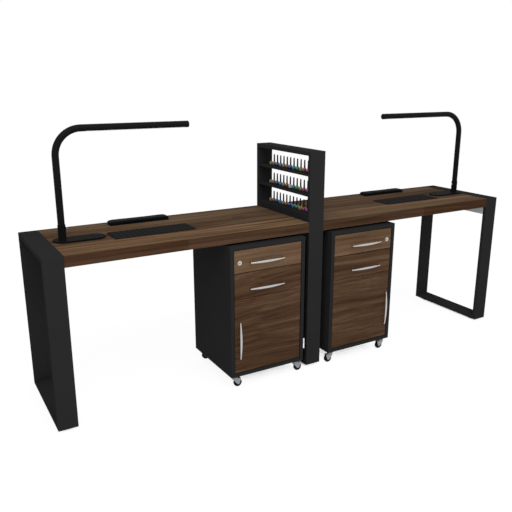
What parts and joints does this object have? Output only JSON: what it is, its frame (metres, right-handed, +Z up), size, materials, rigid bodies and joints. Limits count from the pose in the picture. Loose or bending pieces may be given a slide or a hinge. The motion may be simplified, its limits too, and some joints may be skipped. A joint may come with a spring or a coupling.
{
  "type": "double nail table",
  "caption": "Long salon desk for two workplaces with flat-tube frames, a polish bottle display, arched lamps, hand rests and rolling drawer pedestals.",
  "frame": {"origin": "on the floor, in the middle of the table's box", "axes": "+X along the table to the right of a person who faces its drawer fronts, +Y from the drawer fronts to the back, +Z up"},
  "size_m": [2.539, 0.539, 1.227],
  "materials": {
    "frame_coat": "fine matt powder coat, graphite",
    "display_board": "laminated board, matt graphite",
    "walnut_top": "walnut-look laminate, satin",
    "walnut_front": "walnut-look laminate, satin",
    "rail_coat": "light grey powder coat",
    "zinc_steel": "zinc plated",
    "glide_plastic": "matt black",
    "polish_glass": "glossy, in many colours",
    "cap_plastic": "satin black",
    "lamp_coat": "satin black",
    "diffuser_plastic": "milky white",
    "switch_plastic": "white",
    "pad_cover": "soft matt black",
    "pad_board": "black",
    "mat_rubber": "matt dark grey",
    "cabinet_board": "laminated board, matt graphite",
    "hardware_steel": "zinc plated",
    "drawer_board": "grey laminate",
    "handle_metal": "satin nickel",
    "caster_plastic": "light grey",
    "caster_tyre": "matt black"
  },
  "bodies": {
    "table": {"end_frames": "frame_coat", "centre_frame": "frame_coat", "left_desktop": "walnut_top", "right_desktop": "walnut_top", "support_rails": "rail_coat", "table_fasteners": "zinc_steel", "floor_glides": "glide_plastic", "display_shelves": "display_board", "polish_bottles": "polish_glass", "bottle_caps": "cap_plastic", "lamp_bases": "lamp_coat", "left_hand_rest": "pad_cover", "right_hand_rest": "pad_cover", "hand_rest_boards": "pad_board", "work_mats": "mat_rubber"},
    "left_lamp": {"left_lamp_arm": "lamp_coat", "left_lamp_diffuser": "diffuser_plastic"},
    "left_lamp_button": {"left_lamp_switch": "switch_plastic"},
    "left_pedestal": {"left_cabinet": "cabinet_board", "left_cabinet_hardware": "hardware_steel"},
    "left_top_drawer": {"left_top_drawer_box": "drawer_board", "left_top_drawer_front": "walnut_front", "left_top_drawer_fittings": "handle_metal"},
    "left_lock": {"left_lock_barrel": "handle_metal"},
    "left_lower_drawer": {"left_lower_drawer_box": "drawer_board", "left_lower_drawer_front": "walnut_front", "left_lower_drawer_fittings": "handle_metal"},
    "left_cupboard_door": {"left_door": "walnut_front", "left_door_handle": "handle_metal"},
    "left_front_outer_fork_body": {"left_front_outer_fork": "caster_plastic"},
    "left_front_outer_wheel_body": {"left_front_outer_wheel": "caster_tyre"},
    "left_front_inner_fork_body": {"left_front_inner_fork": "caster_plastic"},
    "left_front_inner_wheel_body": {"left_front_inner_wheel": "caster_tyre"},
    "left_rear_outer_fork_body": {"left_rear_outer_fork": "caster_plastic"},
    "left_rear_outer_wheel_body": {"left_rear_outer_wheel": "caster_tyre"},
    "left_rear_inner_fork_body": {"left_rear_inner_fork": "caster_plastic"},
    "left_rear_inner_wheel_body": {"left_rear_inner_wheel": "caster_tyre"},
    "right_lamp": {"right_lamp_arm": "lamp_coat", "right_lamp_diffuser": "diffuser_plastic"},
    "right_lamp_button": {"right_lamp_switch": "switch_plastic"},
    "right_pedestal": {"right_cabinet": "cabinet_board", "right_cabinet_hardware": "hardware_steel"},
    "right_top_drawer": {"right_top_drawer_box": "drawer_board", "right_top_drawer_front": "walnut_front", "right_top_drawer_fittings": "handle_metal"},
    "right_lock": {"right_lock_barrel": "handle_metal"},
    "right_lower_drawer": {"right_lower_drawer_box": "drawer_board", "right_lower_drawer_front": "walnut_front", "right_lower_drawer_fittings": "handle_metal"},
    "right_cupboard_door": {"right_door": "walnut_front", "right_door_handle": "handle_metal"},
    "right_front_outer_fork_body": {"right_front_outer_fork": "caster_plastic"},
    "right_front_outer_wheel_body": {"right_front_outer_wheel": "caster_tyre"},
    "right_front_inner_fork_body": {"right_front_inner_fork": "caster_plastic"},
    "right_front_inner_wheel_body": {"right_front_inner_wheel": "caster_tyre"},
    "right_rear_outer_fork_body": {"right_rear_outer_fork": "caster_plastic"},
    "right_rear_outer_wheel_body": {"right_rear_outer_wheel": "caster_tyre"},
    "right_rear_inner_fork_body": {"right_rear_inner_fork": "caster_plastic"},
    "right_rear_inner_wheel_body": {"right_rear_inner_wheel": "caster_tyre"}
  },
  "joints": [
    {"name": "left_lamp_swivel", "type": "hinge", "parent": "table", "child": "left_lamp", "pos_m": [-1.135, 0.0075, 0.8], "axis": [0, 0, 1], "range_deg": [-90, 90]},
    {"name": "left_lamp_button_press", "type": "slide", "parent": "table", "child": "left_lamp_button", "axis": [-1, 0, 0], "range_m": [0, 0.001], "stiffness_N_per_m": 500},
    {"name": "left_pedestal_roll", "type": "slide", "parent": "table", "child": "left_pedestal", "axis": [0, -1, 0], "range_m": [0, 0.5]},
    {"name": "left_top_drawer_slide", "type": "slide", "parent": "left_pedestal", "child": "left_top_drawer", "axis": [0, -1, 0], "range_m": [0, 0.3]},
    {"name": "left_lower_drawer_slide", "type": "slide", "parent": "left_pedestal", "child": "left_lower_drawer", "axis": [0, -1, 0], "range_m": [0, 0.3]},
    {"name": "left_lock_turn", "type": "hinge", "parent": "left_top_drawer", "child": "left_lock", "pos_m": [-0.43, -0.2375, 0.614], "axis": [0, -1, 0], "range_deg": [0, 90]},
    {"name": "left_door_hinge", "type": "hinge", "parent": "left_pedestal", "child": "left_cupboard_door", "pos_m": [-0.111, -0.2375, 0.26], "axis": [0, 0, 1], "range_deg": [0, 100]},
    {"name": "left_front_outer_swivel", "type": "hinge", "parent": "left_pedestal", "child": "left_front_outer_fork_body", "pos_m": [-0.448, -0.2225, 0.05], "axis": [0, 0, 1], "continuous": true},
    {"name": "left_front_outer_wheel_spin", "type": "hinge", "parent": "left_front_outer_fork_body", "child": "left_front_outer_wheel_body", "pos_m": [-0.434, -0.2225, 0.02], "axis": [0, 1, 0], "continuous": true},
    {"name": "left_front_inner_swivel", "type": "hinge", "parent": "left_pedestal", "child": "left_front_inner_fork_body", "pos_m": [-0.108, -0.2225, 0.05], "axis": [0, 0, 1], "continuous": true},
    {"name": "left_front_inner_wheel_spin", "type": "hinge", "parent": "left_front_inner_fork_body", "child": "left_front_inner_wheel_body", "pos_m": [-0.094, -0.2225, 0.02], "axis": [0, 1, 0], "continuous": true},
    {"name": "left_rear_outer_swivel", "type": "hinge", "parent": "left_pedestal", "child": "left_rear_outer_fork_body", "pos_m": [-0.448, 0.1275, 0.05], "axis": [0, 0, 1], "continuous": true},
    {"name": "left_rear_outer_wheel_spin", "type": "hinge", "parent": "left_rear_outer_fork_body", "child": "left_rear_outer_wheel_body", "pos_m": [-0.434, 0.1275, 0.02], "axis": [0, 1, 0], "continuous": true},
    {"name": "left_rear_inner_swivel", "type": "hinge", "parent": "left_pedestal", "child": "left_rear_inner_fork_body", "pos_m": [-0.108, 0.1275, 0.05], "axis": [0, 0, 1], "continuous": true},
    {"name": "left_rear_inner_wheel_spin", "type": "hinge", "parent": "left_rear_inner_fork_body", "child": "left_rear_inner_wheel_body", "pos_m": [-0.094, 0.1275, 0.02], "axis": [0, 1, 0], "continuous": true},
    {"name": "right_lamp_swivel", "type": "hinge", "parent": "table", "child": "right_lamp", "pos_m": [1.169, 0.0075, 0.8], "axis": [0, 0, 1], "range_deg": [-90, 90]},
    {"name": "right_lamp_button_press", "type": "slide", "parent": "table", "child": "right_lamp_button", "axis": [1, 0, 0], "range_m": [0, 0.001], "stiffness_N_per_m": 500},
    {"name": "right_pedestal_roll", "type": "slide", "parent": "table", "child": "right_pedestal", "axis": [0, -1, 0], "range_m": [0, 0.5]},
    {"name": "right_top_drawer_slide", "type": "slide", "parent": "right_pedestal", "child": "right_top_drawer", "axis": [0, -1, 0], "range_m": [0, 0.3]},
    {"name": "right_lower_drawer_slide", "type": "slide", "parent": "right_pedestal", "child": "right_lower_drawer", "axis": [0, -1, 0], "range_m": [0, 0.3]},
    {"name": "right_lock_turn", "type": "hinge", "parent": "right_top_drawer", "child": "right_lock", "pos_m": [0.43, -0.2375, 0.614], "axis": [0, 1, 0], "range_deg": [0, 90]},
    {"name": "right_door_hinge", "type": "hinge", "parent": "right_pedestal", "child": "right_cupboard_door", "pos_m": [0.111, -0.2375, 0.26], "axis": [0, 0, -1], "range_deg": [0, 100]},
    {"name": "right_front_outer_swivel", "type": "hinge", "parent": "right_pedestal", "child": "right_front_outer_fork_body", "pos_m": [0.448, -0.2225, 0.05], "axis": [0, 0, 1], "continuous": true},
    {"name": "right_front_outer_wheel_spin", "type": "hinge", "parent": "right_front_outer_fork_body", "child": "right_front_outer_wheel_body", "pos_m": [0.434, -0.2225, 0.02], "axis": [0, 1, 0], "continuous": true},
    {"name": "right_front_inner_swivel", "type": "hinge", "parent": "right_pedestal", "child": "right_front_inner_fork_body", "pos_m": [0.108, -0.2225, 0.05], "axis": [0, 0, 1], "continuous": true},
    {"name": "right_front_inner_wheel_spin", "type": "hinge", "parent": "right_front_inner_fork_body", "child": "right_front_inner_wheel_body", "pos_m": [0.094, -0.2225, 0.02], "axis": [0, 1, 0], "continuous": true},
    {"name": "right_rear_outer_swivel", "type": "hinge", "parent": "right_pedestal", "child": "right_rear_outer_fork_body", "pos_m": [0.448, 0.1275, 0.05], "axis": [0, 0, 1], "continuous": true},
    {"name": "right_rear_outer_wheel_spin", "type": "hinge", "parent": "right_rear_outer_fork_body", "child": "right_rear_outer_wheel_body", "pos_m": [0.434, 0.1275, 0.02], "axis": [0, 1, 0], "continuous": true},
    {"name": "right_rear_inner_swivel", "type": "hinge", "parent": "right_pedestal", "child": "right_rear_inner_fork_body", "pos_m": [0.108, 0.1275, 0.05], "axis": [0, 0, 1], "continuous": true},
    {"name": "right_rear_inner_wheel_spin", "type": "hinge", "parent": "right_rear_inner_fork_body", "child": "right_rear_inner_wheel_body", "pos_m": [0.094, 0.1275, 0.02], "axis": [0, 1, 0], "continuous": true}
  ]
}
